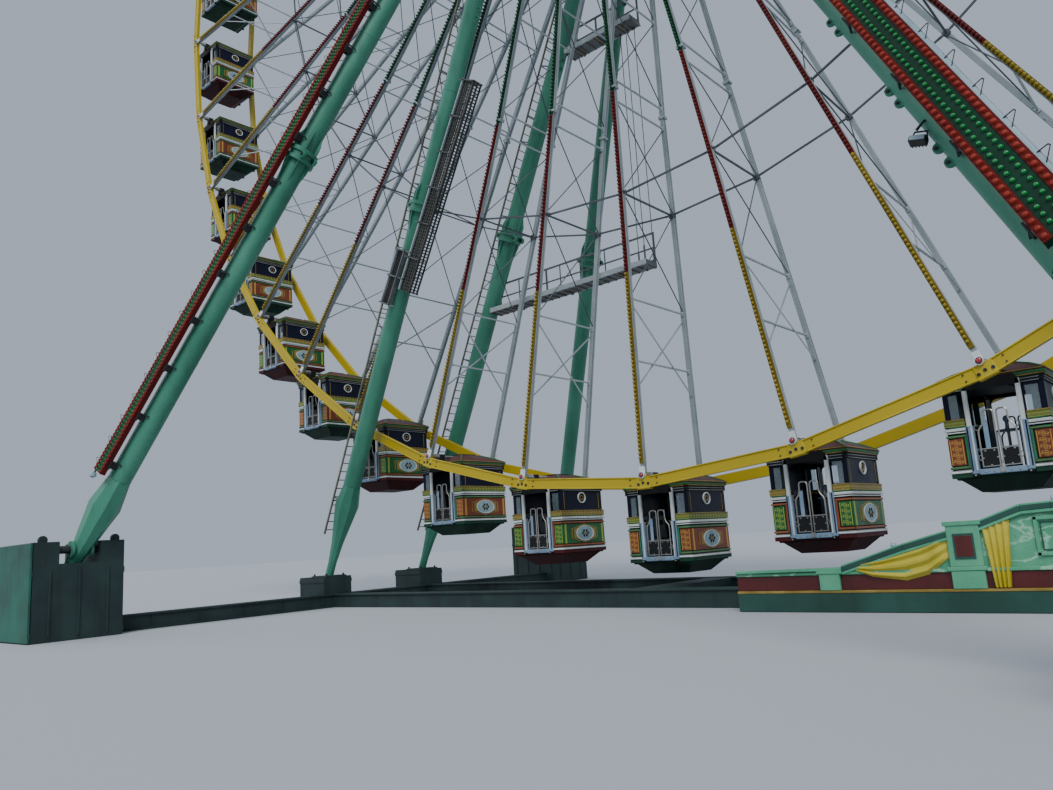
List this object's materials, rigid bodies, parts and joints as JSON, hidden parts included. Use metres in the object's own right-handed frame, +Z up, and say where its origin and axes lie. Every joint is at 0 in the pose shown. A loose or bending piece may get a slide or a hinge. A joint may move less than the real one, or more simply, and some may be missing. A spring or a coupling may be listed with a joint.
{
  "type": "ferris wheel, 1:2 scale model",
  "caption": "Transportable ferris wheel at 1:2 scale: spoked wheel with hanging roofed cabins on a shaft between two leaning leg frames, with a base frame, lamp boards and a boarding deck.",
  "frame": {"origin": "on the ground below the middle of the axle, on the underside of the base frame's middle beam", "axes": "+X to the right seen from the front, +Y to the rear along the axle, +Z up"},
  "size_m": [24.41, 11.325, 25.17],
  "materials": {
    "leg_paint": "satin turquoise paint",
    "wheel_steel": "satin light grey paint",
    "galvanised_steel": "dull galvanised grey",
    "base_paint": "matt dark green paint",
    "board_paint": "satin green paint with lamps",
    "parapet_paint": "satin pale green paint",
    "cabin_green": "gloss green paint",
    "cabin_red": "gloss orange-red paint"
  },
  "bodies": {
    "structure": {"hub_head_front": "leg_paint", "hub_head_rear": "leg_paint", "main_leg_front_left": "leg_paint", "main_leg_front_right": "leg_paint", "main_leg_rear_left": "leg_paint", "main_leg_rear_right": "leg_paint", "side_leg_front_left": "leg_paint", "side_leg_front_right": "leg_paint", "side_leg_rear_left": "leg_paint", "side_leg_rear_right": "leg_paint", "base_frame": "base_paint", "lamp_board_left": "board_paint", "lamp_board_right": "board_paint", "walkway_rear_low": "galvanised_steel", "landing_rear_high": "galvanised_steel", "folded_walkway_front": "galvanised_steel", "ladder_front": "galvanised_steel", "ladder_rear": "galvanised_steel", "boarding_platform": "galvanised_steel", "platform_parapet": "parapet_paint"},
    "wheel": {"hub_and_axle": "leg_paint", "front_wheel_frame": "wheel_steel", "rear_wheel_frame": "wheel_steel", "tie_ring": "wheel_steel"},
    "cabin_01": {"cabin_01": "cabin_red"},
    "cabin_02": {"cabin_02": "cabin_green"},
    "cabin_03": {"cabin_03": "cabin_red"},
    "cabin_04": {"cabin_04": "cabin_green"},
    "cabin_05": {"cabin_05": "cabin_red"},
    "cabin_06": {"cabin_06": "cabin_green"},
    "cabin_07": {"cabin_07": "cabin_red"},
    "cabin_08": {"cabin_08": "cabin_green"},
    "cabin_09": {"cabin_09": "cabin_red"},
    "cabin_10": {"cabin_10": "cabin_green"},
    "cabin_11": {"cabin_11": "cabin_red"},
    "cabin_12": {"cabin_12": "cabin_green"},
    "cabin_13": {"cabin_13": "cabin_red"},
    "cabin_14": {"cabin_14": "cabin_green"},
    "cabin_15": {"cabin_15": "cabin_red"},
    "cabin_16": {"cabin_16": "cabin_green"},
    "cabin_17": {"cabin_17": "cabin_red"},
    "cabin_18": {"cabin_18": "cabin_green"},
    "cabin_19": {"cabin_19": "cabin_red"},
    "cabin_20": {"cabin_20": "cabin_green"},
    "cabin_21": {"cabin_21": "cabin_red"},
    "cabin_22": {"cabin_22": "cabin_green"},
    "cabin_23": {"cabin_23": "cabin_red"},
    "cabin_24": {"cabin_24": "cabin_green"},
    "cabin_25": {"cabin_25": "cabin_red"},
    "cabin_26": {"cabin_26": "cabin_green"},
    "cabin_27": {"cabin_27": "cabin_red"},
    "cabin_28": {"cabin_28": "cabin_green"},
    "cabin_29": {"cabin_29": "cabin_red"},
    "cabin_30": {"cabin_30": "cabin_green"},
    "cabin_31": {"cabin_31": "cabin_red"},
    "cabin_32": {"cabin_32": "cabin_green"},
    "cabin_33": {"cabin_33": "cabin_red"},
    "cabin_34": {"cabin_34": "cabin_green"},
    "cabin_35": {"cabin_35": "cabin_red"},
    "cabin_36": {"cabin_36": "cabin_green"}
  },
  "joints": [
    {"name": "wheel_spin", "type": "hinge", "parent": "structure", "child": "wheel", "pos_m": [0, 0, 13.3], "axis": [0, 1, 0], "continuous": true},
    {"name": "cabin_01_pivot", "type": "hinge", "parent": "wheel", "child": "cabin_01", "pos_m": [0, 0, 1.6], "axis": [0, 1, 0], "continuous": true},
    {"name": "cabin_02_pivot", "type": "hinge", "parent": "wheel", "child": "cabin_02", "pos_m": [2.03168, 0, 1.77775], "axis": [0, 1, 0], "continuous": true},
    {"name": "cabin_03_pivot", "type": "hinge", "parent": "wheel", "child": "cabin_03", "pos_m": [4.00164, 0, 2.3056], "axis": [0, 1, 0], "continuous": true},
    {"name": "cabin_04_pivot", "type": "hinge", "parent": "wheel", "child": "cabin_04", "pos_m": [5.85, 0, 3.1675], "axis": [0, 1, 0], "continuous": true},
    {"name": "cabin_05_pivot", "type": "hinge", "parent": "wheel", "child": "cabin_05", "pos_m": [7.52062, 0, 4.33728], "axis": [0, 1, 0], "continuous": true},
    {"name": "cabin_06_pivot", "type": "hinge", "parent": "wheel", "child": "cabin_06", "pos_m": [8.96272, 0, 5.77938], "axis": [0, 1, 0], "continuous": true},
    {"name": "cabin_07_pivot", "type": "hinge", "parent": "wheel", "child": "cabin_07", "pos_m": [10.1325, 0, 7.45], "axis": [0, 1, 0], "continuous": true},
    {"name": "cabin_08_pivot", "type": "hinge", "parent": "wheel", "child": "cabin_08", "pos_m": [10.9944, 0, 9.29836], "axis": [0, 1, 0], "continuous": true},
    {"name": "cabin_09_pivot", "type": "hinge", "parent": "wheel", "child": "cabin_09", "pos_m": [11.52225, 0, 11.26832], "axis": [0, 1, 0], "continuous": true},
    {"name": "cabin_10_pivot", "type": "hinge", "parent": "wheel", "child": "cabin_10", "pos_m": [11.7, 0, 13.3], "axis": [0, 1, 0], "continuous": true},
    {"name": "cabin_11_pivot", "type": "hinge", "parent": "wheel", "child": "cabin_11", "pos_m": [11.52225, 0, 15.33168], "axis": [0, 1, 0], "continuous": true},
    {"name": "cabin_12_pivot", "type": "hinge", "parent": "wheel", "child": "cabin_12", "pos_m": [10.9944, 0, 17.30164], "axis": [0, 1, 0], "continuous": true},
    {"name": "cabin_13_pivot", "type": "hinge", "parent": "wheel", "child": "cabin_13", "pos_m": [10.1325, 0, 19.15], "axis": [0, 1, 0], "continuous": true},
    {"name": "cabin_14_pivot", "type": "hinge", "parent": "wheel", "child": "cabin_14", "pos_m": [8.96272, 0, 20.82062], "axis": [0, 1, 0], "continuous": true},
    {"name": "cabin_15_pivot", "type": "hinge", "parent": "wheel", "child": "cabin_15", "pos_m": [7.52062, 0, 22.26272], "axis": [0, 1, 0], "continuous": true},
    {"name": "cabin_16_pivot", "type": "hinge", "parent": "wheel", "child": "cabin_16", "pos_m": [5.85, 0, 23.4325], "axis": [0, 1, 0], "continuous": true},
    {"name": "cabin_17_pivot", "type": "hinge", "parent": "wheel", "child": "cabin_17", "pos_m": [4.00164, 0, 24.2944], "axis": [0, 1, 0], "continuous": true},
    {"name": "cabin_18_pivot", "type": "hinge", "parent": "wheel", "child": "cabin_18", "pos_m": [2.03168, 0, 24.82225], "axis": [0, 1, 0], "continuous": true},
    {"name": "cabin_19_pivot", "type": "hinge", "parent": "wheel", "child": "cabin_19", "pos_m": [0, 0, 25], "axis": [0, 1, 0], "continuous": true},
    {"name": "cabin_20_pivot", "type": "hinge", "parent": "wheel", "child": "cabin_20", "pos_m": [-2.03168, 0, 24.82225], "axis": [0, 1, 0], "continuous": true},
    {"name": "cabin_21_pivot", "type": "hinge", "parent": "wheel", "child": "cabin_21", "pos_m": [-4.00164, 0, 24.2944], "axis": [0, 1, 0], "continuous": true},
    {"name": "cabin_22_pivot", "type": "hinge", "parent": "wheel", "child": "cabin_22", "pos_m": [-5.85, 0, 23.4325], "axis": [0, 1, 0], "continuous": true},
    {"name": "cabin_23_pivot", "type": "hinge", "parent": "wheel", "child": "cabin_23", "pos_m": [-7.52062, 0, 22.26272], "axis": [0, 1, 0], "continuous": true},
    {"name": "cabin_24_pivot", "type": "hinge", "parent": "wheel", "child": "cabin_24", "pos_m": [-8.96272, 0, 20.82062], "axis": [0, 1, 0], "continuous": true},
    {"name": "cabin_25_pivot", "type": "hinge", "parent": "wheel", "child": "cabin_25", "pos_m": [-10.1325, 0, 19.15], "axis": [0, 1, 0], "continuous": true},
    {"name": "cabin_26_pivot", "type": "hinge", "parent": "wheel", "child": "cabin_26", "pos_m": [-10.9944, 0, 17.30164], "axis": [0, 1, 0], "continuous": true},
    {"name": "cabin_27_pivot", "type": "hinge", "parent": "wheel", "child": "cabin_27", "pos_m": [-11.52225, 0, 15.33168], "axis": [0, 1, 0], "continuous": true},
    {"name": "cabin_28_pivot", "type": "hinge", "parent": "wheel", "child": "cabin_28", "pos_m": [-11.7, 0, 13.3], "axis": [0, 1, 0], "continuous": true},
    {"name": "cabin_29_pivot", "type": "hinge", "parent": "wheel", "child": "cabin_29", "pos_m": [-11.52225, 0, 11.26832], "axis": [0, 1, 0], "continuous": true},
    {"name": "cabin_30_pivot", "type": "hinge", "parent": "wheel", "child": "cabin_30", "pos_m": [-10.9944, 0, 9.29836], "axis": [0, 1, 0], "continuous": true},
    {"name": "cabin_31_pivot", "type": "hinge", "parent": "wheel", "child": "cabin_31", "pos_m": [-10.1325, 0, 7.45], "axis": [0, 1, 0], "continuous": true},
    {"name": "cabin_32_pivot", "type": "hinge", "parent": "wheel", "child": "cabin_32", "pos_m": [-8.96272, 0, 5.77938], "axis": [0, 1, 0], "continuous": true},
    {"name": "cabin_33_pivot", "type": "hinge", "parent": "wheel", "child": "cabin_33", "pos_m": [-7.52062, 0, 4.33728], "axis": [0, 1, 0], "continuous": true},
    {"name": "cabin_34_pivot", "type": "hinge", "parent": "wheel", "child": "cabin_34", "pos_m": [-5.85, 0, 3.1675], "axis": [0, 1, 0], "continuous": true},
    {"name": "cabin_35_pivot", "type": "hinge", "parent": "wheel", "child": "cabin_35", "pos_m": [-4.00164, 0, 2.3056], "axis": [0, 1, 0], "continuous": true},
    {"name": "cabin_36_pivot", "type": "hinge", "parent": "wheel", "child": "cabin_36", "pos_m": [-2.03168, 0, 1.77775], "axis": [0, 1, 0], "continuous": true}
  ],
  "couplings": [
    {"joint": "cabin_01_pivot", "follows": "wheel_spin", "ratio": -1},
    {"joint": "cabin_02_pivot", "follows": "wheel_spin", "ratio": -1},
    {"joint": "cabin_03_pivot", "follows": "wheel_spin", "ratio": -1},
    {"joint": "cabin_04_pivot", "follows": "wheel_spin", "ratio": -1},
    {"joint": "cabin_05_pivot", "follows": "wheel_spin", "ratio": -1},
    {"joint": "cabin_06_pivot", "follows": "wheel_spin", "ratio": -1},
    {"joint": "cabin_07_pivot", "follows": "wheel_spin", "ratio": -1},
    {"joint": "cabin_08_pivot", "follows": "wheel_spin", "ratio": -1},
    {"joint": "cabin_09_pivot", "follows": "wheel_spin", "ratio": -1},
    {"joint": "cabin_10_pivot", "follows": "wheel_spin", "ratio": -1},
    {"joint": "cabin_11_pivot", "follows": "wheel_spin", "ratio": -1},
    {"joint": "cabin_12_pivot", "follows": "wheel_spin", "ratio": -1},
    {"joint": "cabin_13_pivot", "follows": "wheel_spin", "ratio": -1},
    {"joint": "cabin_14_pivot", "follows": "wheel_spin", "ratio": -1},
    {"joint": "cabin_15_pivot", "follows": "wheel_spin", "ratio": -1},
    {"joint": "cabin_16_pivot", "follows": "wheel_spin", "ratio": -1},
    {"joint": "cabin_17_pivot", "follows": "wheel_spin", "ratio": -1},
    {"joint": "cabin_18_pivot", "follows": "wheel_spin", "ratio": -1},
    {"joint": "cabin_19_pivot", "follows": "wheel_spin", "ratio": -1},
    {"joint": "cabin_20_pivot", "follows": "wheel_spin", "ratio": -1},
    {"joint": "cabin_21_pivot", "follows": "wheel_spin", "ratio": -1},
    {"joint": "cabin_22_pivot", "follows": "wheel_spin", "ratio": -1},
    {"joint": "cabin_23_pivot", "follows": "wheel_spin", "ratio": -1},
    {"joint": "cabin_24_pivot", "follows": "wheel_spin", "ratio": -1},
    {"joint": "cabin_25_pivot", "follows": "wheel_spin", "ratio": -1},
    {"joint": "cabin_26_pivot", "follows": "wheel_spin", "ratio": -1},
    {"joint": "cabin_27_pivot", "follows": "wheel_spin", "ratio": -1},
    {"joint": "cabin_28_pivot", "follows": "wheel_spin", "ratio": -1},
    {"joint": "cabin_29_pivot", "follows": "wheel_spin", "ratio": -1},
    {"joint": "cabin_30_pivot", "follows": "wheel_spin", "ratio": -1},
    {"joint": "cabin_31_pivot", "follows": "wheel_spin", "ratio": -1},
    {"joint": "cabin_32_pivot", "follows": "wheel_spin", "ratio": -1},
    {"joint": "cabin_33_pivot", "follows": "wheel_spin", "ratio": -1},
    {"joint": "cabin_34_pivot", "follows": "wheel_spin", "ratio": -1},
    {"joint": "cabin_35_pivot", "follows": "wheel_spin", "ratio": -1},
    {"joint": "cabin_36_pivot", "follows": "wheel_spin", "ratio": -1}
  ]
}
